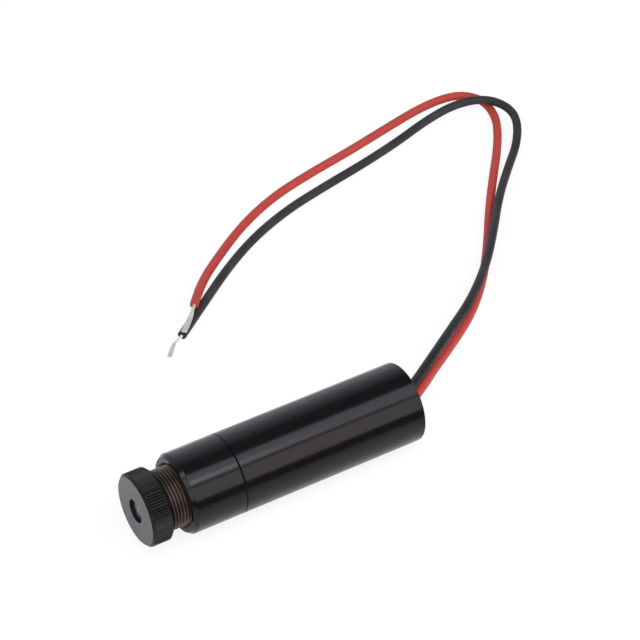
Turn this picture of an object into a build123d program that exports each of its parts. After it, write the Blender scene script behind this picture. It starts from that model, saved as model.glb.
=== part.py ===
from build123d import *
from math import pi, radians, sqrt, tan
import os

# Laser diode module, in millimetres. The barrel lies along X, the beam leaves towards +X and
# +Z is up. The origin is on the barrel's axis, half-way along the rear barrel.

# Barrel
BARREL_D = 12.0
REAR_BARREL_L = 29.4
COLLAR_L = 8.4
COLLAR_CHAMFER_L = 0.65
COLLAR_CHAMFER_R = 0.45
SEAM_BREAK = 0.1
REAR_BREAK = 0.3
TUBE_WALL = 1.0
SPIGOT_L = 5.2
SPIGOT_WALL = 1.0
SPIGOT_CLEARANCE = 0.02

# Focus head
HEAD_GAP = 2.7
HEAD_L = 3.45
HEAD_STEP = 0.55
HEAD_FACE_CHAMFER = 0.4
HEAD_BACK_CHAMFER = 0.5
KNURL_COUNT = 84
KNURL_DEPTH = 0.14
KNURL_ANGLE = 90.0
APERTURE_D = 3.5
WEB_T = 0.4
SHANK_L = 7.2
SHANK_CHAMFER = 0.3
RELIEF_L = 0.3
RELIEF_DEPTH = 0.3
CELL_BORE_SHARE = 0.8036
THREAD_CLEARANCE = 0.05
FOCUS_BORE_SHARE = 0.755
FOCUS_BORE_L = 7.2
MOUTH_CHAMFER = 0.35

# Lens and its ring
LENS_CLEARANCE = 0.03
LENS_T = 2.6
LENS_RIM_W = 0.6
LENS_FRONT_R = 8.0
LENS_BACK_R = 9.0
LENS_APEX_BELOW_RIM = 0.05
RING_T = 1.0
RING_BORE_SHARE = 0.6944
RING_SLOT_W = 0.8
RING_SLOT_DEPTH = 0.4

# Focus spring
SPRING_WIRE = 0.4
SPRING_SIDE_GAP = 0.15
SPRING_TURNS = 6
SPRING_SEAT_GAP = 0.02

# Laser diode in its can
WALL_T = 0.8
BASE_D = 5.6
BASE_T = 1.2
BASE_CLEARANCE = 0.02
CAP_INSET = 0.6
CAP_BRIM_W = 0.2
CAP_BRIM_T = 0.2
CAP_L = 2.4
CAP_WALL = 0.2
CAP_HOLE = 1.8
CAN_CLEARANCE = 0.1
WINDOW_D = 3.0
WINDOW_T = 0.25
POST_W = 1.6
POST_H = 0.8
POST_L = 1.3
LASER_CHIP_L = 0.5
LASER_CHIP_W = 0.3
LASER_CHIP_T = 0.12
MONITOR_SIZE = 0.7
MONITOR_T = 0.2
MONITOR_OFFSET = 1.0
PIN_D = 0.45
PIN_L = 6.5
PIN_CIRCLE_D = 2.0
CLAMP_RING_T = 1.5
CLAMP_BORE_SHARE = 0.53
CLAMP_RING_CLEARANCE = 0.03

# Driver board, which the pins straddle
PIN_TO_BOARD = 0.025
BOARD_SIDE_CLEARANCE = 0.4
BOARD_FRONT_GAP = 0.2
INNER_LEAD_ROOM = 4.2
PART_GAP = 0.02
SOLDER_R = 0.6
SOLDER_BACK = 0.9
SOLDER_GAP = 0.01
CUT_OVERRUN = 1.0

# Parts on the board, each placed by its middle, as a share of the board's length from its front
PACKAGE_STAND_OFF = 0.15
PACKAGE_CHAMFER = 0.2
LEG_OUT_L = 1.0
LEG_ROOT = 0.1
LEG_W = 0.4
LEG_H = 0.5
LEG_T = 0.15
FOOT_L = 0.6
CHIP_L = 4.9
CHIP_W = 3.9
CHIP_H = 1.6
CHIP_LEGS_A_SIDE = 4
CHIP_LEG_PITCH = 1.27
CHIP_PLACE_SHARE = 0.44
TRANSISTOR_L = 2.9
TRANSISTOR_W = 1.5
TRANSISTOR_H = 1.1
TRANSISTOR_LEG_PITCH = 0.95
TRANSISTOR_PLACE_SHARE = 0.32
RESISTOR_L = 2.0
RESISTOR_W = 1.25
RESISTOR_T = 0.5
RESISTOR_SPACING = 3.2
RESISTOR_PLACE_SHARE = 0.62
CAPACITOR_L = 1.6
CAPACITOR_W = 3.2
CAPACITOR_T = 1.6
CAPACITOR_CHAMFER = 0.15
CAPACITOR_PLACE_SHARE = 0.76

# Rear plug and the leads
PLUG_T = 2.0
PLUG_RECESS = 0.8
PLUG_CLEARANCE = 0.02
LEAD_D = 1.4
LEAD_HOLE_CLEARANCE = 0.02
LEAD_OFFSET_Y = 0.65
LEAD_OFFSET_Z = 0.45
CROSSING_GAP = 0.1
CORE_D = 0.6
TAIL_L = 1.6
ARC_SHARE = 0.45

# Stations along X, all worked out from the sizes above
SEAM = REAR_BARREL_L / 2
REAR = -REAR_BARREL_L / 2
COLLAR_FACE = SEAM + COLLAR_L
HEAD_BACK = COLLAR_FACE + HEAD_GAP
HEAD_FACE = HEAD_BACK + HEAD_L
SHANK_END = HEAD_BACK - SHANK_L
LENS_SEAT = HEAD_FACE - WEB_T
LENS_BACK = LENS_SEAT - LENS_T
RING_BACK = LENS_BACK - RING_T
WALL_FRONT = COLLAR_FACE - FOCUS_BORE_L
WALL_BACK = WALL_FRONT - WALL_T
BASE_BACK = WALL_BACK - BASE_T
SPIGOT_END = SEAM - SPIGOT_L
PIN_END = BASE_BACK - PIN_L
PLUG_BACK = REAR + PLUG_RECESS
PLUG_FRONT = PLUG_BACK + PLUG_T
BOARD_FRONT = SPIGOT_END - BOARD_FRONT_GAP
BOARD_BACK = PLUG_FRONT + INNER_LEAD_ROOM
BOARD_L = BOARD_FRONT - BOARD_BACK

# Radii and heights worked out from the sizes above
BARREL_R = BARREL_D / 2
TUBE_R = BARREL_R - TUBE_WALL
SPIGOT_R = TUBE_R - SPIGOT_CLEARANCE
SPIGOT_BORE_R = SPIGOT_R - SPIGOT_WALL
FOCUS_BORE_R = BARREL_R * FOCUS_BORE_SHARE
SHANK_R = FOCUS_BORE_R - THREAD_CLEARANCE
CELL_BORE_R = SHANK_R * CELL_BORE_SHARE
RING_BORE_R = CELL_BORE_R * RING_BORE_SHARE
SPRING_R = CELL_BORE_R - SPRING_SIDE_GAP - SPRING_WIRE / 2
CAP_R = BASE_D / 2 - CAP_INSET
CAP_BRIM_R = CAP_R + CAP_BRIM_W
HEAD_R = BARREL_R - HEAD_STEP
BOARD_TOP = -PIN_D / 2 - PIN_TO_BOARD
BOARD_BOTTOM = -PIN_CIRCLE_D / 2 + PIN_D / 2 + PIN_TO_BOARD
LEAD_R = LEAD_D / 2
FLOOR = -BARREL_R
LEAD_Z = FLOOR + LEAD_R

# Heights of a lead that lies on the other one, and of the bare strands on the floor
OVER_Z = LEAD_Z + LEAD_D + CROSSING_GAP
CORE_Z = FLOOR + CORE_D / 2

# Where the red and the black lead leave the rear plug
RED_EXIT = (PLUG_BACK, LEAD_OFFSET_Y, -LEAD_OFFSET_Z)
BLACK_EXIT = (PLUG_BACK, -LEAD_OFFSET_Y, LEAD_OFFSET_Z)

# Routes of the free leads, from the plug, down to the floor and round in one slim loop
RED_ROUTE = [
    RED_EXIT,
    (REAR - 1.0, LEAD_OFFSET_Y, -LEAD_OFFSET_Z),
    (REAR - 2.8, -0.04, -0.6),
    (REAR - 5.1, -2.2, -1.2),
    (REAR - 9.3, -6.0, LEAD_Z + 2.8),
    (REAR - 16.0, -11.4, LEAD_Z + 0.7),
    (REAR - 22.8, -16.4, LEAD_Z),
    (REAR - 28.8, -22.3, LEAD_Z),
    (REAR - 34.0, -28.9, LEAD_Z),
    (REAR - 39.1, -36.1, LEAD_Z),
    (REAR - 44.3, -42.8, LEAD_Z),
    (REAR - 49.5, -49.4, LEAD_Z),
    (REAR - 53.5, -55.2, LEAD_Z),
    (REAR - 54.7, -59.2, LEAD_Z),
    (REAR - 54.6, -62.6, LEAD_Z),
    (REAR - 52.5, -65.1, LEAD_Z),
    (REAR - 49.1, -65.9, LEAD_Z),
    (REAR - 44.1, -65.1, LEAD_Z),
    (REAR - 36.3, -63.2, LEAD_Z),
    (REAR - 28.1, -61.2, LEAD_Z),
    (REAR - 19.7, -59.5, LEAD_Z),
    (REAR - 11.5, -57.2, LEAD_Z),
    (REAR - 3.9, -53.5, LEAD_Z),
    (REAR + 3.2, -48.8, LEAD_Z),
    (REAR + 9.6, -43.5, LEAD_Z + 0.3),
    (REAR + 12.9, -39.6, LEAD_Z + 1.05),
]
BLACK_ROUTE = [
    BLACK_EXIT,
    (REAR - 1.0, -LEAD_OFFSET_Y, LEAD_OFFSET_Z),
    (REAR - 2.8, -1.33, 0.4),
    (REAR - 5.1, -3.4, -0.1),
    (REAR - 10.1, -7.5, OVER_Z + 2.7),
    (REAR - 16.9, -12.5, OVER_Z + 0.9),
    (REAR - 23.5, -17.7, OVER_Z),
    (REAR - 30.1, -23.5, OVER_Z),
    (REAR - 35.9, -30.1, OVER_Z),
    (REAR - 41.4, -36.9, LEAD_Z + 1.0),
    (REAR - 47.6, -43.7, LEAD_Z),
    (REAR - 52.5, -48.2, LEAD_Z + 0.4),
    (REAR - 55.6, -52.3, OVER_Z),
    (REAR - 56.4, -56.5, OVER_Z),
    (REAR - 54.2, -60.3, OVER_Z),
    (REAR - 49.7, -62.3, LEAD_Z + 0.6),
    (REAR - 43.8, -61.7, LEAD_Z),
    (REAR - 36.3, -59.3, LEAD_Z),
    (REAR - 28.3, -57.1, LEAD_Z),
    (REAR - 19.8, -55.2, LEAD_Z),
    (REAR - 11.3, -53.0, LEAD_Z),
    (REAR - 3.3, -49.5, LEAD_Z),
    (REAR + 3.7, -45.2, LEAD_Z),
    (REAR + 10.7, -39.9, LEAD_Z),
    (REAR + 17.6, -34.7, LEAD_Z),
]

# Bare strands: the red ones lie over the end of the black insulation
RED_STRANDS = [
    RED_ROUTE[-1],
    (REAR + 14.1, -38.3, LEAD_Z + 1.15),
    (REAR + 15.7, -36.5, LEAD_Z + 1.12),
    (REAR + 17.4, -34.3, LEAD_Z + 1.1),
]
BLACK_STRANDS = [
    BLACK_ROUTE[-1],
    (REAR + 18.7, -34.0, CORE_Z + 0.15),
    (REAR + 19.8, -33.5, CORE_Z),
    (REAR + 21.3, -31.9, CORE_Z),
]


def turned(*outline):
    """A solid of revolution about X from corners given as (x, radius)."""
    return revolve(make_face(Polyline(*outline, close=True)), axis=Axis.X)


def rod(radius, x_low, x_high, y=0.0, z=0.0):
    """A round bar along X between two stations."""
    start = Plane(origin=(x_low, y, z), z_dir=(1, 0, 0))
    return extrude(start * Circle(radius), amount=x_high - x_low)


def block(x_low, x_high, width, z_low, z_high, y=0.0):
    """A rectangular block, centred on y."""
    centre = ((x_low + x_high) / 2, y, (z_low + z_high) / 2)
    return Pos(*centre) * Box(x_high - x_low, width, z_high - z_low)


def knurl_grooves():
    """The straight knurl's V grooves, as cutters that run past both ends of the head."""
    half_width = KNURL_DEPTH * tan(radians(KNURL_ANGLE / 2))
    section = Polyline(
        (0, HEAD_R - KNURL_DEPTH),
        (2 * half_width, HEAD_R + KNURL_DEPTH),
        (-2 * half_width, HEAD_R + KNURL_DEPTH),
        close=True,
    )
    face = Plane(origin=(HEAD_BACK, 0, 0), z_dir=(1, 0, 0)) * make_face(section)
    groove = extrude(face, amount=HEAD_L)
    return [Rot(X=360 * i / KNURL_COUNT) * groove for i in range(KNURL_COUNT)]


def focus_head():
    """Knurled knob and hollow shank, turned as one piece, with the aperture in its front web."""
    relief_r = SHANK_R - RELIEF_DEPTH
    body = turned(
        (HEAD_FACE, APERTURE_D / 2),
        (HEAD_FACE, HEAD_R - HEAD_FACE_CHAMFER),
        (HEAD_FACE - HEAD_FACE_CHAMFER, HEAD_R),
        (HEAD_BACK + HEAD_BACK_CHAMFER, HEAD_R),
        (HEAD_BACK, HEAD_R - HEAD_BACK_CHAMFER),
        (HEAD_BACK, relief_r),
        (HEAD_BACK - RELIEF_L, relief_r),
        (HEAD_BACK - RELIEF_L, SHANK_R),
        (SHANK_END + SHANK_CHAMFER, SHANK_R),
        (SHANK_END, SHANK_R - SHANK_CHAMFER),
        (SHANK_END, CELL_BORE_R),
        (LENS_SEAT, CELL_BORE_R),
        (LENS_SEAT, APERTURE_D / 2),
    )
    return body - knurl_grooves()


def dome_drop(sphere_r, reach):
    """How far a sphere's surface has dropped at a distance from its axis."""
    return sphere_r - sqrt(sphere_r**2 - reach**2)


def collimating_lens():
    """Moulded lens: a flat rim that seats on the web, and two domed optical faces."""
    rim_r = CELL_BORE_R - LENS_CLEARANCE
    front_r = rim_r - LENS_RIM_W
    back_r = RING_BORE_R - LENS_CLEARANCE
    apex = LENS_SEAT - LENS_APEX_BELOW_RIM
    back_apex = LENS_BACK - dome_drop(LENS_BACK_R, back_r)
    front = ThreePointArc(
        (apex, 0),
        (apex - dome_drop(LENS_FRONT_R, front_r / 2), front_r / 2),
        (apex - dome_drop(LENS_FRONT_R, front_r), front_r),
    )
    back = ThreePointArc(
        (LENS_BACK, back_r),
        (back_apex + dome_drop(LENS_BACK_R, back_r / 2), back_r / 2),
        (back_apex, 0),
    )
    rim = Polyline(front @ 1, (LENS_SEAT, front_r), (LENS_SEAT, rim_r), (LENS_BACK, rim_r), back @ 0)
    centre = Line(back @ 1, front @ 0)
    return revolve(make_face([front, *rim.edges(), back, centre]), axis=Axis.X)


def spanner_slot(back, outer_r):
    """Cutter for the two slots across a ring's back face."""
    return block(back, back + RING_SLOT_DEPTH, 2 * outer_r, -RING_SLOT_W / 2, RING_SLOT_W / 2)


def lens_retaining_ring():
    """Ring behind the lens, with two slots for a spanner."""
    outer_r = CELL_BORE_R - LENS_CLEARANCE
    ring = turned(
        (LENS_BACK, RING_BORE_R),
        (LENS_BACK, outer_r),
        (RING_BACK, outer_r),
        (RING_BACK, RING_BORE_R),
    )
    return ring - spanner_slot(RING_BACK, outer_r)


def focus_spring():
    """Coil spring between the retaining ring and the wall in front of the diode."""
    low = WALL_FRONT + SPRING_WIRE / 2 + SPRING_SEAT_GAP
    high = RING_BACK - SPRING_WIRE / 2 - SPRING_SEAT_GAP
    coil = Helix(
        pitch=(high - low) / SPRING_TURNS,
        height=high - low,
        radius=SPRING_R,
        center=(low, 0, 0),
        direction=(1, 0, 0),
    )
    section = Plane(origin=coil @ 0, z_dir=coil % 0) * Circle(SPRING_WIRE / 2)
    return sweep(section, path=coil, is_frenet=True)


def front_barrel():
    """Collar, focus bore, wall before the diode, diode seat and the spigot, in one turned piece."""
    spigot_chamfer = SPIGOT_WALL / 3
    can_hole_r = CAP_BRIM_R + CAN_CLEARANCE
    seat_r = BASE_D / 2 + BASE_CLEARANCE
    return turned(
        (COLLAR_FACE, FOCUS_BORE_R + MOUTH_CHAMFER),
        (COLLAR_FACE, BARREL_R - COLLAR_CHAMFER_R),
        (COLLAR_FACE - COLLAR_CHAMFER_L, BARREL_R),
        (SEAM + SEAM_BREAK, BARREL_R),
        (SEAM, BARREL_R - SEAM_BREAK),
        (SEAM, SPIGOT_R),
        (SPIGOT_END + spigot_chamfer, SPIGOT_R),
        (SPIGOT_END, SPIGOT_R - spigot_chamfer),
        (SPIGOT_END, SPIGOT_BORE_R),
        (BASE_BACK, SPIGOT_BORE_R),
        (BASE_BACK, seat_r),
        (WALL_BACK, seat_r),
        (WALL_BACK, can_hole_r),
        (WALL_FRONT, can_hole_r),
        (WALL_FRONT, FOCUS_BORE_R),
        (COLLAR_FACE - MOUTH_CHAMFER, FOCUS_BORE_R),
    )


def diode_base():
    """Base of the diode's can, with the post that carries the laser chip."""
    disc = rod(BASE_D / 2, BASE_BACK, WALL_BACK)
    post = block(WALL_BACK, WALL_BACK + POST_L, POST_W, -POST_H - LASER_CHIP_T, -LASER_CHIP_T)
    return disc + post


def diode_cap():
    """Thin drawn cap with a brim and the window's hole."""
    inner_r = CAP_R - CAP_WALL
    top = WALL_BACK + CAP_L
    return turned(
        (WALL_BACK, inner_r),
        (WALL_BACK, CAP_BRIM_R),
        (WALL_BACK + CAP_BRIM_T, CAP_BRIM_R),
        (WALL_BACK + CAP_BRIM_T, CAP_R),
        (top, CAP_R),
        (top, CAP_HOLE / 2),
        (top - CAP_WALL, CAP_HOLE / 2),
        (top - CAP_WALL, inner_r),
    )


def diode_window():
    """Glass disc under the cap's hole."""
    seat = WALL_BACK + CAP_L - CAP_WALL
    return rod(WINDOW_D / 2, seat - WINDOW_T, seat)


def laser_chip():
    """Laser chip on the post, at the barrel's axis."""
    tip = WALL_BACK + POST_L
    return block(tip - LASER_CHIP_L, tip, LASER_CHIP_W, -LASER_CHIP_T, 0)


def monitor_photodiode():
    """Photodiode chip on the base, behind and above the laser chip."""
    low = MONITOR_OFFSET - MONITOR_SIZE / 2
    return block(WALL_BACK, WALL_BACK + MONITOR_T, MONITOR_SIZE, low, low + MONITOR_SIZE)


def pin_places():
    """Centres of the three pins as (y, z): two beside the axis and one below it."""
    r = PIN_CIRCLE_D / 2
    return [(-r, 0), (r, 0), (0, -r)]


def diode_pins():
    """Three pins that reach back over both faces of the board."""
    return Compound([rod(PIN_D / 2, PIN_END, BASE_BACK, y, z) for y, z in pin_places()])


def diode_clamp_ring():
    """Ring that holds the diode's base in its seat."""
    outer_r = SPIGOT_BORE_R - CLAMP_RING_CLEARANCE
    bore_r = SPIGOT_BORE_R * CLAMP_BORE_SHARE
    back = BASE_BACK - CLAMP_RING_T
    ring = turned(
        (BASE_BACK, bore_r),
        (BASE_BACK, outer_r),
        (back, outer_r),
        (back, bore_r),
    )
    return ring - spanner_slot(back, outer_r)


def driver_board():
    """Circuit board between the two upper pins and the lower one."""
    half_width = sqrt(TUBE_R**2 - BOARD_BOTTOM**2) - BOARD_SIDE_CLEARANCE
    return block(BOARD_BACK, BOARD_FRONT, 2 * half_width, BOARD_BOTTOM, BOARD_TOP)


def board_face(up):
    """Height of the board's upper face, where up is 1, or of its lower one, where it is -1."""
    return BOARD_TOP if up > 0 else BOARD_BOTTOM


def gull_leg(middle_x, body_y, side, up):
    """One bent leg from a package's side down to the board; side and up are 1 or -1."""
    root_y = body_y - side * LEG_ROOT
    toe_y = body_y + side * LEG_OUT_L
    shin_y = toe_y - side * FOOT_L
    sole_z = board_face(up) + up * PART_GAP
    knee_z = sole_z + up * LEG_H
    outline = Polyline(
        (root_y, knee_z),
        (shin_y, knee_z),
        (shin_y, sole_z),
        (toe_y, sole_z),
        (toe_y, sole_z + up * LEG_T),
        (shin_y + side * LEG_T, sole_z + up * LEG_T),
        (shin_y + side * LEG_T, knee_z + up * LEG_T),
        (root_y, knee_z + up * LEG_T),
        close=True,
    )
    plane = Plane(origin=(middle_x - LEG_W / 2, 0, 0), x_dir=(0, 1, 0), z_dir=(1, 0, 0))
    return extrude(plane * make_face(outline), amount=LEG_W)


def package(middle_x, length, width, height, legs, up):
    """A moulded package with bent legs; legs is a list of (x, side) with side 1 or -1."""
    low, high = sorted((board_face(up) + up * PACKAGE_STAND_OFF, board_face(up) + up * height))
    body = block(middle_x - length / 2, middle_x + length / 2, width, low, high)
    outer_face = body.faces().sort_by(Axis.Z)[-1 if up > 0 else 0]
    body = chamfer(outer_face.edges(), PACKAGE_CHAMFER)
    return body.fuse(*[gull_leg(leg_x, side * width / 2, side, up) for leg_x, side in legs])


def driver_chip():
    """Driver chip with legs on both sides, on the board's upper face."""
    middle = BOARD_FRONT - CHIP_PLACE_SHARE * BOARD_L
    first = middle - CHIP_LEG_PITCH * (CHIP_LEGS_A_SIDE - 1) / 2
    places = [first + CHIP_LEG_PITCH * i for i in range(CHIP_LEGS_A_SIDE)]
    legs = [(x, side) for x in places for side in (-1, 1)]
    return package(middle, CHIP_L, CHIP_W, CHIP_H, legs, 1)


def drive_transistor():
    """Three-legged transistor on the board's lower face."""
    middle = BOARD_FRONT - TRANSISTOR_PLACE_SHARE * BOARD_L
    legs = [
        (middle - TRANSISTOR_LEG_PITCH, -1),
        (middle + TRANSISTOR_LEG_PITCH, -1),
        (middle, 1),
    ]
    return package(middle, TRANSISTOR_L, TRANSISTOR_W, TRANSISTOR_H, legs, -1)


def sense_resistors():
    """Two chip resistors side by side on the board's lower face."""
    back = BOARD_FRONT - RESISTOR_PLACE_SHARE * BOARD_L - RESISTOR_L / 2
    top = BOARD_BOTTOM - PART_GAP
    places = (-RESISTOR_SPACING / 2, RESISTOR_SPACING / 2)
    chips = [block(back, back + RESISTOR_L, RESISTOR_W, top - RESISTOR_T, top, y) for y in places]
    return Compound(chips)


def filter_capacitor():
    """Moulded capacitor on the board's upper face."""
    back = BOARD_FRONT - CAPACITOR_PLACE_SHARE * BOARD_L - CAPACITOR_L / 2
    low = BOARD_TOP + PART_GAP
    body = block(back, back + CAPACITOR_L, CAPACITOR_W, low, low + CAPACITOR_T)
    return chamfer(body.faces().sort_by(Axis.Z)[-1].edges(), CAPACITOR_CHAMFER)


def solder_dome(x, y, up, wire):
    """A solder dome on one face of the board, round a wire."""
    board_z = board_face(up)
    ball = Pos(x, y, board_z) * Sphere(SOLDER_R)
    low, high = sorted((board_z + up * SOLDER_GAP, board_z + up * SOLDER_R))
    half = block(x - SOLDER_R, x + SOLDER_R, 2 * SOLDER_R, low, high, y)
    return (ball & half) - wire


def tail_place(exit_point):
    """Where a lead's bare tail lies on the board: its y, its axis height, and which face."""
    up = 1 if exit_point[2] > 0 else -1
    return exit_point[1], board_face(up) + up * (CORE_D / 2 + PIN_TO_BOARD), up


def solder_joints():
    """Domes that hold the three pins and the two lead tails on the board."""
    domes = []
    for y, z in pin_places():
        up = 1 if z == 0 else -1
        wire = rod(PIN_D / 2 + SOLDER_GAP, PIN_END - CUT_OVERRUN, BASE_BACK, y, z)
        domes.append(solder_dome(PIN_END + SOLDER_BACK, y, up, wire))
    for exit_point in (RED_EXIT, BLACK_EXIT):
        y, z, up = tail_place(exit_point)
        tail_end = BOARD_BACK + TAIL_L
        wire = rod(CORE_D / 2 + SOLDER_GAP, BOARD_BACK - CUT_OVERRUN, tail_end + CUT_OVERRUN, y, z)
        domes.append(solder_dome(BOARD_BACK + SOLDER_BACK, y, up, wire))
    return Compound(domes)


def inner_lead(exit_point):
    """The stretch of a lead inside the barrel, and its bare tail on the board."""
    y, tail_z, _ = tail_place(exit_point)
    board_side = BOARD_BACK - LEAD_R
    route = [
        exit_point,
        (PLUG_FRONT + LEAD_R, exit_point[1], exit_point[2]),
        (board_side - LEAD_R, y, tail_z),
        (board_side, y, tail_z),
    ]
    sleeve = tube(route, LEAD_R)
    tail = rod(CORE_D / 2, board_side, BOARD_BACK + TAIL_L, y, tail_z)
    return sleeve + tail


def rear_barrel():
    """The long plain tube behind the seam."""
    return turned(
        (SEAM, TUBE_R),
        (SEAM, BARREL_R - SEAM_BREAK),
        (SEAM - SEAM_BREAK, BARREL_R),
        (REAR + REAR_BREAK, BARREL_R),
        (REAR, BARREL_R - REAR_BREAK),
        (REAR, TUBE_R),
    )


def rear_plug():
    """Round plug in the tube's end, with a hole for each lead."""
    disc = rod(TUBE_R - PLUG_CLEARANCE, PLUG_BACK, PLUG_FRONT)
    hole_r = LEAD_R + LEAD_HOLE_CLEARANCE
    for _, y, z in (RED_EXIT, BLACK_EXIT):
        disc -= rod(hole_r, PLUG_BACK, PLUG_FRONT, y, z)
    return disc


def arc_radii(route):
    """The radius at each corner of a route, as large as its two runs allow."""
    points = [Vector(*p) for p in route]
    radii = []
    for before, here, after in zip(points, points[1:], points[2:]):
        turn = radians((here - before).get_angle(after - here))
        shorter = min((here - before).length, (after - here).length)
        radii.append(ARC_SHARE * shorter / tan(turn / 2))
    return radii


def tube(route, radius):
    """A round tube along straight runs joined by tangent arcs."""
    path = FilletPolyline(*route, radius=arc_radii(route))
    section = Plane(origin=path @ 0, z_dir=path % 0) * Circle(radius)
    return sweep(section, path=path)


def route_length(route):
    """The length of the tube's centre line."""
    return FilletPolyline(*route, radius=arc_radii(route)).length


def print_route(name, route, diameter):
    """Tell a route's runs, smallest arc and length."""
    runs = [(Vector(*b) - Vector(*a)).length for a, b in zip(route, route[1:])]
    ratio = max(max(a / b, b / a) for a, b in zip(runs, runs[1:]))
    radii = arc_radii(route)
    length = route_length(route)
    solid = tube(route, diameter / 2)
    expected = pi * diameter**2 / 4 * length
    print(name, "length %.1f, smallest radius %.1f" % (length, min(radii)), end=", ")
    print("run ratio %.2f, volume %.4f of section x length" % (ratio, solid.volume / expected))
    print("  radii", " ".join("%.1f" % r for r in radii))


def build():
    """Every piece by name."""
    return {
        "focus_head": focus_head(),
        "collimating_lens": collimating_lens(),
        "lens_retaining_ring": lens_retaining_ring(),
        "focus_spring": focus_spring(),
        "front_barrel": front_barrel(),
        "diode_base": diode_base(),
        "diode_cap": diode_cap(),
        "diode_window": diode_window(),
        "laser_chip": laser_chip(),
        "monitor_photodiode": monitor_photodiode(),
        "diode_pins": diode_pins(),
        "diode_clamp_ring": diode_clamp_ring(),
        "driver_board": driver_board(),
        "driver_chip": driver_chip(),
        "drive_transistor": drive_transistor(),
        "sense_resistors": sense_resistors(),
        "filter_capacitor": filter_capacitor(),
        "solder_joints": solder_joints(),
        "red_inner_lead": inner_lead(RED_EXIT),
        "black_inner_lead": inner_lead(BLACK_EXIT),
        "rear_barrel": rear_barrel(),
        "rear_plug": rear_plug(),
        "red_lead": tube(RED_ROUTE, LEAD_R),
        "black_lead": tube(BLACK_ROUTE, LEAD_R),
        "red_strands": tube(RED_STRANDS, CORE_D / 2),
        "black_strands": tube(BLACK_STRANDS, CORE_D / 2),
    }


os.makedirs("parts", exist_ok=True)
for node, solid in build().items():
    export_step(solid, f"parts/{node}.step")
print_route("red lead", RED_ROUTE, LEAD_D)
print_route("black lead", BLACK_ROUTE, LEAD_D)
print_route("red strands", RED_STRANDS, CORE_D)
print_route("black strands", BLACK_STRANDS, CORE_D)
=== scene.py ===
from math import cos, floor, pi, radians, sin, sqrt, tan, tau

import bpy
from mathutils import Matrix, Vector


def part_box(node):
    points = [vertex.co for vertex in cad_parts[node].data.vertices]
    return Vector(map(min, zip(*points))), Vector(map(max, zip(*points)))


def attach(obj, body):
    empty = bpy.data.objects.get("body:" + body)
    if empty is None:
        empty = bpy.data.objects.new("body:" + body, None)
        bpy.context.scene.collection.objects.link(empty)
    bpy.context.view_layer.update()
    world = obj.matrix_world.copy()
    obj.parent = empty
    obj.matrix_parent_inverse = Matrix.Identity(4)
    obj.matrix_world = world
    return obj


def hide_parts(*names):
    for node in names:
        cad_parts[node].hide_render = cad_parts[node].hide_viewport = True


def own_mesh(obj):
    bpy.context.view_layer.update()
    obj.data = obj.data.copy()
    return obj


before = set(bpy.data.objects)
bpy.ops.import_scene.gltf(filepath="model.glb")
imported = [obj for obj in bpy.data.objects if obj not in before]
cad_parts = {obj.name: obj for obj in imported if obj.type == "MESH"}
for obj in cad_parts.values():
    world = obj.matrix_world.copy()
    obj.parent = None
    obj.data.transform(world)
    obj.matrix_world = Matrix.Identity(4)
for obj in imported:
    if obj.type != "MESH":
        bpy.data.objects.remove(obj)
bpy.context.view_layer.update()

# Laser diode module, in metres, in the row frame: the barrel lies along X and the beam leaves
# towards +X. Places come from the CAD nodes' boxes, and sizes that a box can't give are named here.

MM = 0.001

# Stations and radii read from the CAD nodes
HEAD_LOW, HEAD_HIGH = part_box("focus_head")
FRONT_LOW, FRONT_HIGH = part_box("front_barrel")
REAR_LOW, REAR_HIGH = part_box("rear_barrel")
PLUG_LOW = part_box("rear_plug")[0]
LENS_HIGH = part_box("collimating_lens")[1]
SHANK_END = HEAD_LOW.x
HEAD_FACE = HEAD_HIGH.x
COLLAR_FACE = FRONT_HIGH.x
SPIGOT_END = FRONT_LOW.x
SEAM_X = REAR_HIGH.x
REAR_X = REAR_LOW.x
LENS_SEAT = LENS_HIGH.x
BARREL_R = REAR_HIGH.z
FLOOR_Z = -BARREL_R

# Focus head
HEAD_L = 3.45 * MM
HEAD_R = 5.45 * MM
HEAD_BACK = HEAD_FACE - HEAD_L
FACE_CHAMFER = 0.4 * MM
BACK_CHAMFER = 0.5 * MM
EDGE_ROUND = 0.06 * MM
APERTURE_R = 1.75 * MM
CELL_R = 3.6 * MM
KNURL_TEETH = 84
KNURL_DEPTH = 0.15 * MM
KNURL_ZONE = 3 * KNURL_DEPTH
KNURL_STEPS = 8
KNURL_UNEVEN = 0.12
KNURL_UNEVEN_STEP = 7.3
WEB_EDGE = 0.02 * MM
HOLE_EDGE = 0.2 * EDGE_ROUND
FACE_EDGE = 0.3 * EDGE_ROUND
RELIEF_L = 0.3 * MM
RELIEF_DEPTH = 0.3 * MM

# Fine focus thread; flat and flank are shares of half a pitch, and worn is a share of the depth
THREAD_R = 4.48 * MM
THREAD_PITCH = 0.5 * MM
THREAD_DEPTH = 0.27 * MM
THREAD_FLAT = 0.12
THREAD_FLANK = 0.76
THREAD_WORN = 0.8
THREAD_STEPS = 14
THREAD_SIDES = 200
THREAD_END_CHAMFER = 0.3 * MM
THREAD_START = 0.76

# Barrel, with the collar's mouth, wall and diode seat behind one another
TUBE_BORE_R = 5.0 * MM
SPIGOT_R = 4.98 * MM
CLAMP_BORE_R = 3.98 * MM
SEAT_R = 2.82 * MM
WALL_HOLE_R = 2.5 * MM
MOUTH_L = 7.2 * MM
WALL_L = 0.8 * MM
SEAT_L = 1.2 * MM
COLLAR_CHAMFER_L = 0.65 * MM
COLLAR_CHAMFER_R = 0.45 * MM
SEAM_BREAK = 0.1 * MM
SEAM_GAP = 0.14 * MM
REAR_ROUND = 0.3 * MM
FINE_ROUND = 0.03 * MM
SEAM_ROUND = 0.05 * MM
FACE_ROUND = 0.08 * MM
SHOULDER_ROUND = 0.1 * MM
MOUTH_BORE_R = 4.53 * MM
MOUTH_CHAMFER = 0.35 * MM

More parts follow.
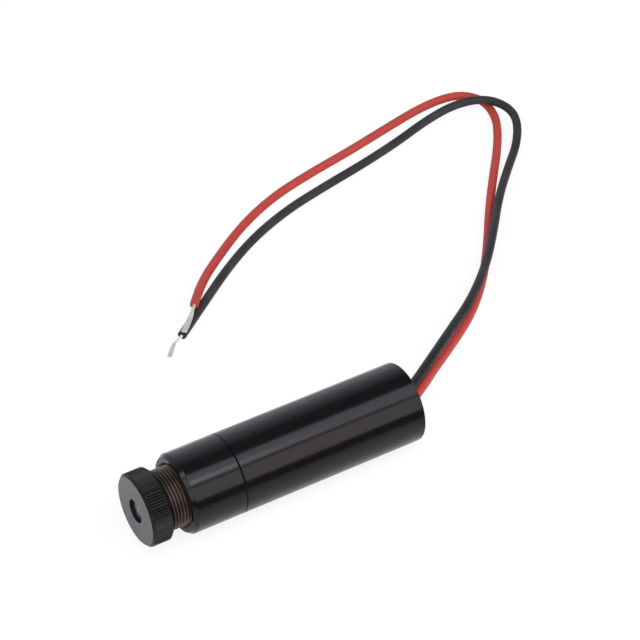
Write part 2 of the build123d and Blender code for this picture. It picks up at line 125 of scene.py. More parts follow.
# Fineness of the turned meshes
BARREL_SIDES = 256
SHARP_ANGLE = 35
SUPPORT_EDGE = 0.05 * MM

# Leads; a sleeve can get painted shade near the plug, which fades out between two distances from the
# barrel's axis
LEAD_D = 1.4 * MM
LEAD_R = LEAD_D / 2
LEAD_OFFSET_Y = 0.65 * MM
LEAD_OFFSET_Z = 0.45 * MM
CORE_D = 0.6 * MM
STRANDS = 9
STRAND_D = 0.19 * MM
BUNDLE_D = 0.46 * MM
BUNDLE_FLATTENING = 0.6
WAIST_REACH = 0.3
CROSSING_GAP = 0.1 * MM
LEAD_Z = FLOOR_Z + LEAD_R
OVER_Z = LEAD_Z + LEAD_D + CROSSING_GAP
CORE_Z = FLOOR_Z + CORE_D / 2
RED_EXIT = (PLUG_LOW.x, LEAD_OFFSET_Y, -LEAD_OFFSET_Z)
BLACK_EXIT = (PLUG_LOW.x, -LEAD_OFFSET_Y, LEAD_OFFSET_Z)
EXIT_SHADE_NEAR = 0.008
EXIT_SHADE_FAR = 0.022

# The leads' routes and the bare strands at their ends
RED_ROUTE = [
    RED_EXIT,
    (REAR_X - 0.001, LEAD_OFFSET_Y, -LEAD_OFFSET_Z),
    (REAR_X - 0.0028, -0.00095, -0.0007),
    (REAR_X - 0.0051, -0.0026, -0.0012),
    (REAR_X - 0.0093, -0.0061, LEAD_Z + 0.0028),
    (REAR_X - 0.016, -0.0114, LEAD_Z + 0.0007),
    (REAR_X - 0.0228, -0.0164, LEAD_Z),
    (REAR_X - 0.0288, -0.0223, LEAD_Z),
    (REAR_X - 0.034, -0.0289, LEAD_Z),
    (REAR_X - 0.0391, -0.0361, LEAD_Z),
    (REAR_X - 0.0443, -0.0428, LEAD_Z),
    (REAR_X - 0.0496, -0.0493, LEAD_Z),
    (REAR_X - 0.0535, -0.0552, LEAD_Z),
    (REAR_X - 0.0547, -0.0592, LEAD_Z),
    (REAR_X - 0.0545, -0.0624, LEAD_Z),
    (REAR_X - 0.0523, -0.0648, LEAD_Z),
    (REAR_X - 0.0489, -0.0654, LEAD_Z),
    (REAR_X - 0.0441, -0.065, LEAD_Z),
    (REAR_X - 0.0363, -0.0631, LEAD_Z),
    (REAR_X - 0.0281, -0.061, LEAD_Z),
    (REAR_X - 0.0196, -0.0592, LEAD_Z),
    (REAR_X - 0.0115, -0.057, LEAD_Z),
    (REAR_X - 0.0039, -0.0534, LEAD_Z),
    (REAR_X + 0.0032, -0.0486, LEAD_Z),
    (REAR_X + 0.0097, -0.0433, LEAD_Z + 0.0004),
    (REAR_X + 0.0132, -0.0387, LEAD_Z + 0.0013),
]
BLACK_ROUTE = [
    BLACK_EXIT,
    (REAR_X - 0.001, -LEAD_OFFSET_Y, LEAD_OFFSET_Z),
    (REAR_X - 0.0028, -0.0019, 0.0006),
    (REAR_X - 0.0051, -0.0037, -0.0001),
    (REAR_X - 0.0101, -0.0075, OVER_Z + 0.0027),
    (REAR_X - 0.0169, -0.0129, OVER_Z + 0.0009),
    (REAR_X - 0.0235, -0.0177, OVER_Z),
    (REAR_X - 0.0301, -0.0235, OVER_Z),
    (REAR_X - 0.0359, -0.0301, OVER_Z),
    (REAR_X - 0.0414, -0.0369, LEAD_Z + 0.001),
    (REAR_X - 0.0477, -0.0436, LEAD_Z),
    (REAR_X - 0.0526, -0.0481, LEAD_Z + 0.0004),
    (REAR_X - 0.0555, -0.0523, OVER_Z),
    (REAR_X - 0.0562, -0.0564, OVER_Z),
    (REAR_X - 0.0541, -0.0602, OVER_Z),
    (REAR_X - 0.0497, -0.0623, LEAD_Z + 0.0006),
    (REAR_X - 0.0438, -0.0617, LEAD_Z),
    (REAR_X - 0.0363, -0.0591, LEAD_Z),
    (REAR_X - 0.0283, -0.0569, LEAD_Z),
    (REAR_X - 0.0198, -0.055, LEAD_Z),
    (REAR_X - 0.0113, -0.0528, LEAD_Z),
    (REAR_X - 0.0033, -0.0494, LEAD_Z),
    (REAR_X + 0.0037, -0.0451, LEAD_Z),
    (REAR_X + 0.0107, -0.0399, LEAD_Z),
    (REAR_X + 0.0176, -0.0347, LEAD_Z),
]
RED_STRANDS = [
    RED_ROUTE[-1],
    (REAR_X + 0.0138, -0.038, LEAD_Z + 0.0012),
    (REAR_X + 0.0146, -0.0371, LEAD_Z + 0.00102),
    (REAR_X + 0.016, -0.0357, LEAD_Z + 0.00092),
    (REAR_X + 0.0174, -0.0344, LEAD_Z + 0.00088),
]
BLACK_STRANDS = [
    BLACK_ROUTE[-1],
    (REAR_X + 0.0179, -0.0346, LEAD_Z - 0.0001),
    (REAR_X + 0.0191, -0.0342, CORE_Z),
    (REAR_X + 0.0195, -0.0339, CORE_Z - 0.0001),
    (REAR_X + 0.0204, -0.033, CORE_Z - 0.0001),
    (REAR_X + 0.0213, -0.0319, CORE_Z - 0.0001),
]

# Camera at the photograph's place, in the row frame
CAMERA_PLACE = (0.149976, 0.249761, 0.270679)
CAMERA_RIGHT = (-0.8565, 0.5162, 0.0)
CAMERA_UP = (-0.3352, -0.5562, 0.7604)
CAMERA_SENSOR = 36.0
CAMERA_LENS = 157.03

# Floor and light; angles are in degrees round X, from +Y towards +Z. In reflections the floor shows a
# painted dark reflection in front of the barrel, between two distances. The studio's levels are pairs
# of a place, from the front at 0 to the bright side at 1, and a brightness.
FLOOR_HALF = 4.0
SEEN_WHITE = 0.85
GLOSS_WHITE = 0.2
FRONT_NEAR = 0.012
FRONT_FAR = 0.04
FRONT_PAINTED_REFLECTION = 0.03
LAMP_DISTANCE = 0.5
STUDIO_ANGLE = 178.0
STUDIO_BLUE = 1.15
STUDIO_FRONT = (0.04, 0.04, 0.04)
STUDIO_BACK = (1.1, 1.1, 1.2)
STUDIO_LEVELS = (
    (0.5, 0.08),
    (0.6, 0.1),
    (0.72, 0.15),
    (0.785, 0.52),
    (0.84, 0.84),
    (0.89, 1.03),
    (0.96, 1.2),
)

# Materials: the span that a noise pattern mostly keeps to, and a glass's lighter tint
NOISE_LOW = 0.3
NOISE_HIGH = 0.7
TINT_LIFT = 1.04


# Outlines and turned meshes

def rounded(corners, steps=5):
    """An outline from corners (x, r, rounding), with each rounding as an arc of short chords."""
    points = []
    count = len(corners)
    for i, (x, r, size) in enumerate(corners):
        here = Vector((x, r))
        before = Vector(corners[i - 1][:2]) - here
        after = Vector(corners[(i + 1) % count][:2]) - here
        if size == 0:
            points.append(here)
            continue
        before.normalize()
        after.normalize()
        opening = before.angle(after)
        reach = size / tan(opening / 2)
        centre = here + (before + after).normalized() * size / sin(opening / 2)
        start = here + before * reach - centre
        turn = start.angle_signed(here + after * reach - centre)
        for k in range(steps + 1):
            points.append(centre + Matrix.Rotation(-turn * k / steps, 2) @ start)
    return points


def with_support(points):
    """The outline with points close to both ends of each long run, so its shading stays flat."""
    dense = []
    for i, here in enumerate(points):
        after = points[(i + 1) % len(points)]
        dense.append(here)
        run = after - here
        if run.length > 4 * SUPPORT_EDGE:
            dense.append(here + run.normalized() * SUPPORT_EDGE)
            dense.append(after - run.normalized() * SUPPORT_EDGE)
    return dense


def mesh_object(name, vertices, faces):
    """A new smooth-shaded mesh object in the scene."""
    mesh = bpy.data.meshes.new(name)
    mesh.from_pydata(vertices, [], faces)
    mesh.validate()
    mesh.update()
    mesh.shade_smooth()
    mesh.set_sharp_from_angle(angle=radians(SHARP_ANGLE))
    piece = bpy.data.objects.new(name, mesh)
    bpy.context.scene.collection.objects.link(piece)
    return piece


def turned(name, outline, sides=BARREL_SIDES, radius_at=None):
    """A closed outline of (x, r) turned about X; radius_at(x, r, angle) may change a radius."""
    vertices = []
    for k in range(sides):
        angle = tau * k / sides
        for x, r in outline:
            radius = radius_at(x, r, angle) if radius_at else r
            vertices.append((x, radius * sin(angle), radius * cos(angle)))
    count = len(outline)
    faces = []
    for k in range(sides):
        row, after_row = k * count, (k + 1) % sides * count
        for i in range(count):
            j = (i + 1) % count
            faces.append((row + i, row + j, after_row + j, after_row + i))
    piece = mesh_object(name, vertices, faces)
    point_outwards(piece)
    return piece


def point_outwards(piece):
    """Turns a closed mesh's faces to the outside."""
    mesh = piece.data
    volume = 0.0
    for polygon in mesh.polygons:
        a, b, c = (mesh.vertices[i].co for i in polygon.vertices[:3])
        volume += a.dot(b.cross(c))
    if volume < 0:
        mesh.flip_normals()


# Materials

def new_material(name):
    """An empty principled material, as (material, its tree, its shader)."""
    material = bpy.data.materials.new(name)
    material.use_nodes = True
    tree = material.node_tree
    return material, tree, tree.nodes["Principled BSDF"]


def place_of(tree, stretch=(1.0, 1.0, 1.0)):
    """The place on the object in metres, with each axis stretched."""
    coordinates = tree.nodes.new("ShaderNodeTexCoord")
    mapping = tree.nodes.new("ShaderNodeMapping")
    mapping.inputs["Scale"].default_value = stretch
    tree.links.new(coordinates.outputs["Object"], mapping.inputs["Vector"])
    return mapping.outputs["Vector"]


def noise(tree, place, scale, detail=3.0, roughness=0.5):
    """A noise pattern with the given number of waves per metre."""
    node = tree.nodes.new("ShaderNodeTexNoise")
    node.inputs["Scale"].default_value = scale
    node.inputs["Detail"].default_value = detail
    node.inputs["Roughness"].default_value = roughness
    tree.links.new(place, node.inputs["Vector"])
    return node.outputs["Fac"]


def spread(tree, value, low, high, to_low, to_high):
    """A value carried from one range to another and kept inside it."""
    node = tree.nodes.new("ShaderNodeMapRange")
    node.inputs["From Min"].default_value = low
    node.inputs["From Max"].default_value = high
    node.inputs["To Min"].default_value = to_low
    node.inputs["To Max"].default_value = to_high
    tree.links.new(value, node.inputs["Value"])
    return node.outputs["Result"]


def from_noise(tree, pattern, low, high):
    """A noise pattern with its usual span carried to another range."""
    return spread(tree, pattern, NOISE_LOW, NOISE_HIGH, low, high)


def combine(tree, operation, first, second):
    """One math step on two values, of which the second may be a plain number."""
    node = tree.nodes.new("ShaderNodeMath")
    node.operation = operation
    tree.links.new(first, node.inputs[0])
    if isinstance(second, (int, float)):
        node.inputs[1].default_value = second
    else:
        tree.links.new(second, node.inputs[1])
    return node.outputs["Value"]


def blend_colours(tree, share, first, second):
    """The first colour where share is 0 and the second where it is 1."""
    node = tree.nodes.new("ShaderNodeMix")
    node.data_type = "RGBA"
    node.inputs["A"].default_value = (*first, 1.0)
    node.inputs["B"].default_value = (*second, 1.0)
    tree.links.new(share, node.inputs["Factor"])
    return node.outputs["Result"]


def add_bump(tree, shader, height, depth):
    """Relief of the given depth in metres."""
    node = tree.nodes.new("ShaderNodeBump")
    node.inputs["Strength"].default_value = 1.0
    node.inputs["Distance"].default_value = depth
    tree.links.new(height, node.inputs["Height"])
    tree.links.new(node.outputs["Normal"], shader.inputs["Normal"])


def set_roughness(tree, shader, pattern, low, high):
    """Roughness that follows a noise pattern."""
    tree.links.new(from_noise(tree, pattern, low, high), shader.inputs["Roughness"])


def radius_of(tree):
    """Distance from the barrel's axis, in metres."""
    coordinates = tree.nodes.new("ShaderNodeTexCoord")
    parts = tree.nodes.new("ShaderNodeSeparateXYZ")
    tree.links.new(coordinates.outputs["Object"], parts.inputs["Vector"])
    across = combine(tree, "MULTIPLY", parts.outputs["Y"], parts.outputs["Y"])
    upwards = combine(tree, "MULTIPLY", parts.outputs["Z"], parts.outputs["Z"])
    return combine(tree, "SQRT", combine(tree, "ADD", across, upwards), 0.0)


def turned_black():
    """Glossy black finish on turned metal, with faint turning rings and handling haze."""
    material, tree, shader = new_material("turned_black")
    haze = noise(tree, place_of(tree), 900.0, detail=4.0)
    rings = noise(tree, place_of(tree, (1.0, 0.02, 0.02)), 9000.0, detail=2.0)
    colour = blend_colours(tree, haze, (0.003, 0.0029, 0.003), (0.005, 0.0047, 0.0048))
    tree.links.new(colour, shader.inputs["Base Color"])
    polish = from_noise(tree, haze, 0.13, 0.18)
    streaks = from_noise(tree, rings, 0.0, 0.03)
    tree.links.new(combine(tree, "ADD", polish, streaks), shader.inputs["Roughness"])
    shader.inputs["IOR"].default_value = 1.3
    add_bump(tree, shader, rings, 0.0009 * MM)
    return material


def matt_black(name, light, dark, grain_depth, roughness=0.5, ior=1.45):
    """Matt black finish with fine grain."""
    material, tree, shader = new_material(name)
    grain = noise(tree, place_of(tree), 9000.0, detail=3.0)
    wear = noise(tree, place_of(tree), 1300.0, detail=4.0, roughness=0.6)
    colour = blend_colours(tree, wear, dark, light)
    tree.links.new(colour, shader.inputs["Base Color"])
    set_roughness(tree, shader, wear, roughness, roughness + 0.1)
    shader.inputs["IOR"].default_value = ior
    add_bump(tree, shader, grain, grain_depth)
    return material


def worn_thread():
    """Dark bronze thread: worn crests over dark roots."""
    material, tree, shader = new_material("worn_thread")
    worn_from = THREAD_R - THREAD_WORN * THREAD_DEPTH
    crest = spread(tree, radius_of(tree), worn_from, THREAD_R, 0.0, 1.0)
    wear = noise(tree, place_of(tree), 2500.0, detail=4.0, roughness=0.6)
    share = combine(tree, "MULTIPLY", crest, from_noise(tree, wear, 0.55, 1.0))
    colour = blend_colours(tree, share, (0.026, 0.019, 0.015), (0.158, 0.108, 0.087))
    tree.links.new(colour, shader.inputs["Base Color"])
    set_roughness(tree, shader, wear, 0.32, 0.46)
    shader.inputs["Metallic"].default_value = 0.8
    return material


def insulation(name, light, dark, roughness, exit_painted_shade=1.0):
    """Soft plastic sleeve with slow colour variation and a fine skin; near the plug it can be dimmed
    with painted shade.
    """
    material, tree, shader = new_material(name)
    tone = noise(tree, place_of(tree), 260.0, detail=3.0)
    # Painted shade: the sleeve turns darker near the plug, behind the barrel.
    painted_shade = spread(tree, radius_of(tree), EXIT_SHADE_NEAR, EXIT_SHADE_FAR, exit_painted_shade, 1.0)
    tone = combine(tree, "MULTIPLY", tone, painted_shade)
    skin = noise(tree, place_of(tree), 5200.0, detail=2.0)
    tree.links.new(blend_colours(tree, tone, dark, light), shader.inputs["Base Color"])
    set_roughness(tree, shader, skin, roughness, roughness + 0.1)
    shader.inputs["IOR"].default_value = 1.3
    add_bump(tree, shader, skin, 0.002 * MM)
    return material


def bright_metal(name, light, dark, roughness, grain=4000.0):
    """Bare or plated metal with fine grain."""
    material, tree, shader = new_material(name)
    marks = noise(tree, place_of(tree), grain, detail=3.0)
    tree.links.new(blend_colours(tree, marks, dark, light), shader.inputs["Base Color"])
    set_roughness(tree, shader, marks, roughness, roughness + 0.15)
    shader.inputs["Metallic"].default_value = 1.0
    add_bump(tree, shader, marks, 0.0015 * MM)
    return material


def plain_plastic(name, light, dark, roughness, grain=3000.0):
    """Moulded or glazed material with fine grain."""
    material, tree, shader = new_material(name)
    marks = noise(tree, place_of(tree), grain, detail=3.0)
    tree.links.new(blend_colours(tree, marks, dark, light), shader.inputs["Base Color"])
    set_roughness(tree, shader, marks, roughness, roughness + 0.12)
    add_bump(tree, shader, marks, 0.003 * MM)
    return material


def clear_glass(name, tint, roughness, clear=1.0):
    """Coated clear glass or moulded optical plastic; clear is the share of light that passes."""
    material, tree, shader = new_material(name)
    marks = noise(tree, place_of(tree), 2000.0, detail=2.0)
    lighter = tuple(min(1.0, part * TINT_LIFT) for part in tint)
    tree.links.new(blend_colours(tree, marks, tint, lighter), shader.inputs["Base Color"])
    set_roughness(tree, shader, marks, roughness, roughness + 0.03)
    shader.inputs["Transmission Weight"].default_value = clear
    shader.inputs["IOR"].default_value = 1.58
    return material


def dress(node, material):
    """Gives a CAD node its material."""
    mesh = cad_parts[node].data
    mesh.materials.clear()
    mesh.materials.append(material)


def finish_piece(piece, material, body, slot, *nodes):
    """Gives a new piece its material and its body, and hides the CAD nodes that it stands for; slot is
    not used.
    """
    if material:
        piece.data.materials.append(material)
    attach(piece, body)
    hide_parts(*nodes)


# Focus head

def knurled(x, radius, angle):
    """Radius on the knob's side, cut down where a V groove of the straight knurl passes."""
    if radius < HEAD_R - KNURL_ZONE:
        return radius
    place = angle / tau * KNURL_TEETH
    groove = floor(place + 0.5)
    off_groove = abs(place - groove) * tau * HEAD_R / KNURL_TEETH
    depth = KNURL_DEPTH * (1.0 + KNURL_UNEVEN * sin(KNURL_UNEVEN_STEP * groove))
    bottom = HEAD_R - max(0.0, depth - off_groove)
    return min(radius, bottom)


def knob():
    """Knurled knob with its aperture, as far back as the relief behind it."""
    relief_r = THREAD_R - RELIEF_DEPTH
    relief_x = HEAD_BACK - RELIEF_L
    outline = rounded([
        (HEAD_FACE, APERTURE_R, EDGE_ROUND),
        (HEAD_FACE, HEAD_R - FACE_CHAMFER, EDGE_ROUND),
        (HEAD_FACE - FACE_CHAMFER, HEAD_R, EDGE_ROUND),
        (HEAD_BACK + BACK_CHAMFER, HEAD_R, EDGE_ROUND),
        (HEAD_BACK, HEAD_R - BACK_CHAMFER, EDGE_ROUND),
        (HEAD_BACK, relief_r, EDGE_ROUND),
        (relief_x, relief_r, 0),
        (relief_x, CELL_R, 0),
        (LENS_SEAT, CELL_R, 0),
        (LENS_SEAT, APERTURE_R, 0),
    ])
    piece = turned("knob", with_support(outline), sides=KNURL_TEETH * KNURL_STEPS, radius_at=knurled)
    for material in (KNOB_SIDE, KNOB_FACE_PAINTED_LIGHT, KNOB_HOLE_PAINTED_SHADE):
        piece.data.materials.append(material)
    for polygon in piece.data.polygons:
        x = polygon.center.x
        radius = polygon.center.yz.length
        # The aperture and the inside behind the lens seat take the copy with painted shade.
        in_aperture = radius < APERTURE_R + HOLE_EDGE
        behind_web = x < LENS_SEAT + WEB_EDGE and radius < CELL_R
        if in_aperture or behind_web:
            polygon.material_index = 2
        # The front face takes the copy with painted light.
        elif x > HEAD_FACE - FACE_EDGE:
            polygon.material_index = 1
    return piece


def thread_radius(x, radius, angle):
    """Radius of the helical thread at a place on the shank."""
    if radius < CELL_R + 0.5 * (THREAD_R - CELL_R):
        return radius
    turns = (x - HEAD_BACK) / THREAD_PITCH + angle / tau + THREAD_START
    off_crest = abs(turns - floor(turns + 0.5)) * 2
    height = 1.0 - min(1.0, max(0.0, (off_crest - THREAD_FLAT) / THREAD_FLANK))
    crest = THREAD_R - THREAD_DEPTH * (1.0 - height)
    run_out = THREAD_R - THREAD_END_CHAMFER + (x - SHANK_END)
    return min(crest, run_out)


def threaded_shank():
    """Hollow shank with its fine right-hand thread."""
    end = HEAD_BACK - RELIEF_L
    step = THREAD_PITCH / THREAD_STEPS
    count = int((end - SHANK_END) / step)
    outer = [Vector((SHANK_END + (end - SHANK_END) * i / count, THREAD_R)) for i in range(count + 1)]
    inner = [Vector((end, CELL_R)), Vector((SHANK_END, CELL_R))]
    return turned("threaded_shank", outer + inner, sides=THREAD_SIDES, radius_at=thread_radius)


# Barrel

def front_collar():
    """Collar with its mouth, the wall behind it, the diode's seat and the spigot."""
    wall_front = COLLAR_FACE - MOUTH_L
    wall_back = wall_front - WALL_L
    seat_back = wall_back - SEAT_L
    outline = rounded([
        (COLLAR_FACE, MOUTH_BORE_R + MOUTH_CHAMFER, FINE_ROUND),
        (COLLAR_FACE, BARREL_R - COLLAR_CHAMFER_R, FACE_ROUND),
        (COLLAR_FACE - COLLAR_CHAMFER_L, BARREL_R, SHOULDER_ROUND),
        (SEAM_X + SEAM_GAP, BARREL_R, SEAM_ROUND),
        (SEAM_X + SEAM_GAP, SPIGOT_R, 0),
        (SPIGOT_END, SPIGOT_R, SHOULDER_ROUND),
        (SPIGOT_END, CLAMP_BORE_R, 0),
        (seat_back, CLAMP_BORE_R, 0),
        (seat_back, SEAT_R, 0),
        (wall_back, SEAT_R, 0),
        (wall_back, WALL_HOLE_R, 0),
        (wall_front, WALL_HOLE_R, 0),
        (wall_front, MOUTH_BORE_R, 0),
        (COLLAR_FACE - MOUTH_CHAMFER, MOUTH_BORE_R, FINE_ROUND),
    ])
    return turned("front_collar", with_support(outline))


def rear_tube():
    """The long plain tube behind the seam."""
    outline = rounded([
        (SEAM_X, TUBE_BORE_R, 0),
        (SEAM_X, BARREL_R - SEAM_BREAK, 0),
        (SEAM_X - SEAM_BREAK, BARREL_R, FINE_ROUND),
        (REAR_X, BARREL_R, REAR_ROUND),
        (REAR_X, TUBE_BORE_R, FACE_ROUND),
    ])
    return turned("rear_tube", with_support(outline))


# Leads

def spline_curve(name, points, thickness):
    """A smooth line that has the route's points as its control points, with round thickness."""
    data = bpy.data.curves.new(name, "CURVE")
    data.dimensions = "3D"
    data.resolution_u = 12
    data.bevel_depth = thickness / 2
    data.bevel_resolution = 6
    data.use_fill_caps = True
    spline = data.splines.new("NURBS")
    spline.points.add(len(points) - 1)
    for point, place in zip(spline.points, points):
        point.co = (*place, 1.0)
    spline.order_u = 3
    spline.use_endpoint_u = True
    curve = bpy.data.objects.new(name, data)
    bpy.context.scene.collection.objects.link(curve)
    return curve


def line_points(points):
    """Places along the smooth line that a route's points control."""
    curve = spline_curve("line", points, 0.0)
    curve.data.use_fill_caps = False
    bpy.context.view_layer.update()
    mesh = bpy.data.meshes.new_from_object(curve)
    places = [vertex.co.copy() for vertex in mesh.vertices]
    bpy.data.meshes.remove(mesh)
    bpy.data.objects.remove(curve)
    return places


def bare_strands(name, points, end_width, waist, waist_place):
    """Fine wires along a line: a round bundle that flattens to end_width, with a narrower waist."""
    places = line_points(points)
    data = bpy.data.curves.new(name, "CURVE")
    data.dimensions = "3D"
    data.bevel_depth = STRAND_D / 2
    data.bevel_resolution = 3
    data.use_fill_caps = True
    total = len(places) - 1
    low = FLOOR_Z + STRAND_D / 2
    start_reach = (BUNDLE_D - STRAND_D) / 2
    end_reach = (end_width - STRAND_D) / 2
    for k in range(STRANDS):
        across = 2 * k / (STRANDS - 1) - 1
        upwards = sqrt(1 - across**2) * (-1) ** k
        spline = data.splines.new("POLY")
        spline.points.add(total)
        for i, place in enumerate(places):
            along = (places[min(i + 1, total)] - places[max(i - 1, 0)]).normalized()
            side = along.cross(Vector((0, 0, 1))).normalized()
            rise = side.cross(along)
            share = i / total
            flat = share**2 * (3 - 2 * share)
            drawn_in = 1 - waist * max(0.0, 1 - abs(share - waist_place) / WAIST_REACH)
            reach = across * (start_reach + (end_reach - start_reach) * flat) * drawn_in
            height = upwards * start_reach * (1 - BUNDLE_FLATTENING * flat)
            spot = place + side * reach + rise * height
            spline.points[i].co = (spot.x, spot.y, max(low, spot.z), 1.0)
    piece = bpy.data.objects.new(name, data)
    bpy.context.scene.collection.objects.link(piece)
    return piece


# Build the pieces

BLACK_METAL = turned_black()
KNOB_SIDE = matt_black("knob_side", light=(0.007, 0.007, 0.0066), dark=(0.003, 0.003, 0.0028),
                       grain_depth=0.004 * MM, roughness=0.27, ior=1.27)
# The face is the knob's black, given a lighter grey base colour as painted light.
KNOB_FACE_PAINTED_LIGHT = matt_black("knob_face_painted_light", light=(0.039, 0.039, 0.033), dark=(0.031, 0.031, 0.027),
                       grain_depth=0.002 * MM, roughness=0.3, ior=1.42)
# The aperture's wall is the knob's black, a little darker as painted shade in the hole.
KNOB_HOLE_PAINTED_SHADE = matt_black("knob_hole_painted_shade", light=(0.005, 0.005, 0.005), dark=(0.003, 0.003, 0.003),
                       grain_depth=0.002 * MM, roughness=0.5, ior=1.3)
RING_BLACK = matt_black("ring_black", light=(0.05, 0.04, 0.032), dark=(0.03, 0.025, 0.02),
                        grain_depth=0.002 * MM)
RED_SLEEVE = insulation("red_sleeve", light=(0.39, 0.045, 0.033), dark=(0.34, 0.038, 0.028),
                        roughness=0.5)
# The black sleeve carries painted shade near the plug.
BLACK_SLEEVE = insulation("black_sleeve", light=(0.038, 0.0365, 0.0375), dark=(0.006, 0.0058, 0.006),
                          roughness=0.5, exit_painted_shade=0.1)
TINNED = bright_metal("tinned_wire", (0.72, 0.715, 0.66), (0.56, 0.555, 0.51), 0.6)

finish_piece(knob(), None, "head", "dark_brass", "focus_head")
finish_piece(threaded_shank(), worn_thread(), "head", "dark_brass", "focus_head")
finish_piece(front_collar(), BLACK_METAL, "barrel", "black_barrel", "front_barrel")
finish_piece(rear_tube(), BLACK_METAL, "barrel", "black_barrel", "rear_barrel")

red = spline_curve("red_wire", RED_ROUTE, LEAD_D)
black = spline_curve("black_wire", BLACK_ROUTE, LEAD_D)
red_bare = bare_strands("red_bare_strands", RED_STRANDS, end_width=0.9 * MM,
                        waist=0.1, waist_place=0.2)
black_bare = bare_strands("black_bare_strands", BLACK_STRANDS, end_width=0.7 * MM,
                          waist=0.3, waist_place=0.3)
finish_piece(red, RED_SLEEVE, "barrel", "red_insulation", "red_lead")
finish_piece(black, BLACK_SLEEVE, "barrel", "black_insulation", "black_lead")
finish_piece(red_bare, TINNED, "barrel", "tinned_copper", "red_strands")
finish_piece(black_bare, TINNED, "barrel", "tinned_copper", "black_strands")

# Pieces that keep their CAD shape
dress("rear_plug", plain_plastic("plug_plastic", (0.03, 0.03, 0.031), (0.018, 0.018, 0.019), 0.5))
dress("collimating_lens", clear_glass("coated_lens", (0.2, 0.19, 0.225), 0.2, clear=0.5))
dress("diode_window", clear_glass("window_glass", (0.95, 0.97, 0.97), 0.01))
dress("lens_retaining_ring", RING_BLACK)
dress("focus_spring", bright_metal("spring_wire", (0.62, 0.62, 0.62), (0.5, 0.5, 0.5), 0.25))
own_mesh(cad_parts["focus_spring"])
PLATED = bright_metal("plated_steel", (0.72, 0.66, 0.5), (0.6, 0.54, 0.4), 0.22)
dress("diode_base", PLATED)
dress("diode_cap", PLATED)
dress("diode_pins", bright_metal("plated_pins", (0.85, 0.68, 0.34), (0.72, 0.55, 0.25), 0.2))
dress("diode_clamp_ring", bright_metal("turned_brass", (0.78, 0.6, 0.3), (0.66, 0.5, 0.24), 0.25))
CHIP = plain_plastic("semiconductor", (0.1, 0.1, 0.13), (0.05, 0.05, 0.07), 0.1)
dress("laser_chip", CHIP)
dress("monitor_photodiode", CHIP)
dress("driver_board", plain_plastic("board_green", (0.04, 0.2, 0.08), (0.025, 0.14, 0.055), 0.35))
PACKAGE = plain_plastic("package_black", (0.04, 0.04, 0.04), (0.022, 0.022, 0.022), 0.5)
dress("driver_chip", PACKAGE)
dress("drive_transistor", PACKAGE)
dress("sense_resistors", plain_plastic("resistor_glaze", (0.07, 0.07, 0.09), (0.04, 0.04, 0.05), 0.3))
dress("filter_capacitor", plain_plastic("capacitor_tan", (0.62, 0.4, 0.14), (0.5, 0.3, 0.09), 0.4))
dress("solder_joints", bright_metal("solder", (0.72, 0.72, 0.72), (0.6, 0.6, 0.6), 0.25))
dress("red_inner_lead", RED_SLEEVE)
dress("black_inner_lead", BLACK_SLEEVE)

# Camera, floor and light

camera_data = bpy.data.cameras.new("camera")
camera_data.sensor_width = CAMERA_SENSOR
camera_data.lens = CAMERA_LENS
camera_data.clip_start = 0.01
camera_data.clip_end = 20.0
camera = bpy.data.objects.new("camera", camera_data)
right = Vector(CAMERA_RIGHT).normalized()
back = right.cross(Vector(CAMERA_UP)).normalized()
up = back.cross(right)
turn = Matrix((right, up, back)).transposed().to_4x4()
camera.matrix_world = Matrix.Translation(CAMERA_PLACE) @ turn
bpy.context.scene.collection.objects.link(camera)
bpy.context.scene.camera = camera

floor_piece = mesh_object(
    "floor",
    [(-FLOOR_HALF, -FLOOR_HALF, FLOOR_Z), (FLOOR_HALF, -FLOOR_HALF, FLOOR_Z),
     (FLOOR_HALF, FLOOR_HALF, FLOOR_Z), (-FLOOR_HALF, FLOOR_HALF, FLOOR_Z)],
    [(0, 1, 2, 3)],
)


def pale_floor():
    """White floor with soft shadows, part plain white to the camera, and a painted dark reflection in
    front in gloss.
    """
    material, tree, shader = new_material("pale_floor")
    grain = noise(tree, place_of(tree), 60.0)
    colour = blend_colours(tree, grain, (0.88, 0.88, 0.88), (0.9, 0.9, 0.9))
    tree.links.new(colour, shader.inputs["Base Color"])
    shader.inputs["Roughness"].default_value = 0.9
    glow = tree.nodes.new("ShaderNodeEmission")
    path = tree.nodes.new("ShaderNodeLightPath")
    direct = combine(tree, "MAXIMUM", path.outputs["Is Camera Ray"], path.outputs["Is Transmission Ray"])
    seen = combine(tree, "MULTIPLY", direct, SEEN_WHITE)
    split = tree.nodes.new("ShaderNodeSeparateXYZ")
    tree.links.new(place_of(tree), split.inputs["Vector"])
    # Painted reflection: glossy rays see the floor dark in front of the barrel.
    ahead = spread(tree, split.outputs["Y"], FRONT_NEAR, FRONT_FAR, 0.0, 1.0)
    share = spread(tree, ahead, 0.0, 1.0, GLOSS_WHITE, 1.0)
    gloss = combine(tree, "MULTIPLY", path.outputs["Is Glossy Ray"], share)
    tone = combine(tree, "MULTIPLY", path.outputs["Is Glossy Ray"], ahead)
    glow_colour = blend_colours(tree, tone, (1.0, 1.0, 1.0), (FRONT_PAINTED_REFLECTION, FRONT_PAINTED_REFLECTION, FRONT_PAINTED_REFLECTION))
    tree.links.new(glow_colour, glow.inputs["Color"])
    mix = tree.nodes.new("ShaderNodeMixShader")
    tree.links.new(combine(tree, "MAXIMUM", seen, gloss), mix.inputs["Fac"])
    tree.links.new(shader.outputs["BSDF"], mix.inputs[1])
    tree.links.new(glow.outputs["Emission"], mix.inputs[2])
    tree.links.new(mix.outputs["Shader"], tree.nodes["Material Output"].inputs["Surface"])
    return material


floor_piece.data.materials.append(pale_floor())


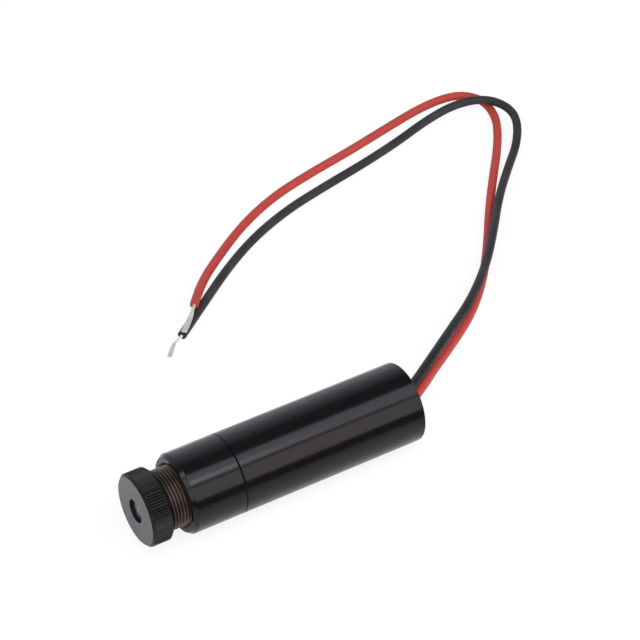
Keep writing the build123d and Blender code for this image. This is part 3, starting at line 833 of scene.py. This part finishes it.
def soft_lamp(name, angle, spread_angle, distance, middle_x, length, radiance, colour):
    """A long soft lamp beside the barrel; angle is its height round X, from +Y towards +Z."""
    width = 2 * distance * tan(radians(spread_angle) / 2)
    data = bpy.data.lights.new(name, "AREA")
    data.shape = "RECTANGLE"
    data.size = length
    data.size_y = width
    data.energy = radiance * pi * length * width
    data.color = colour
    lamp = bpy.data.objects.new(name, data)
    outward = Vector((0.0, cos(radians(angle)), sin(radians(angle))))
    along = Vector((1.0, 0.0, 0.0))
    across = outward.cross(along)
    lamp.matrix_world = (
        Matrix.Translation(outward * distance + Vector((middle_x, 0.0, 0.0)))
        @ Matrix((along, across, outward)).transposed().to_4x4()
    )
    bpy.context.scene.collection.objects.link(lamp)


soft_lamp("low_lamp", angle=27.5, spread_angle=38.0, distance=LAMP_DISTANCE,
          middle_x=0.05, length=1.5, radiance=2.6, colour=(1.0, 0.9, 0.92))
soft_lamp("high_lamp", angle=67.5, spread_angle=31.5, distance=LAMP_DISTANCE,
          middle_x=0.05, length=1.5, radiance=3.2, colour=(0.95, 0.93, 1.04))
soft_lamp("glint_lamp", angle=60.0, spread_angle=9.0, distance=LAMP_DISTANCE - 0.01,
          middle_x=-0.066, length=0.21, radiance=5.0, colour=(1.0, 1.0, 1.0))
soft_lamp("end_lamp", angle=98.0, spread_angle=16.0, distance=LAMP_DISTANCE,
          middle_x=0.46, length=0.3, radiance=4.5, colour=(1.0, 1.0, 1.0))

# Studio round the object: bright behind it, dark overhead and in front
world = bpy.data.worlds.new("studio")
bpy.context.scene.world = world
world.use_nodes = True
studio = world.node_tree
coordinates = studio.nodes.new("ShaderNodeTexCoord")
towards = studio.nodes.new("ShaderNodeVectorMath")
towards.operation = "DOT_PRODUCT"
towards.inputs[1].default_value = (0.0, cos(radians(STUDIO_ANGLE)), sin(radians(STUDIO_ANGLE)))
studio.links.new(coordinates.outputs["Generated"], towards.inputs[0])
levels = studio.nodes.new("ShaderNodeValToRGB")
levels.color_ramp.interpolation = "LINEAR"
stops = levels.color_ramp.elements
stops[0].color = (*STUDIO_FRONT, 1.0)
stops[1].color = (*STUDIO_BACK, 1.0)
for place, level in STUDIO_LEVELS:
    stop = stops.new(place)
    stop.color = (level, level, level * STUDIO_BLUE, 1.0)
studio.links.new(spread(studio, towards.outputs["Value"], -1.0, 1.0, 0.0, 1.0), levels.inputs["Fac"])
studio.links.new(levels.outputs["Color"], studio.nodes["Background"].inputs["Color"])

bpy.context.scene.view_settings.view_transform = "Standard"
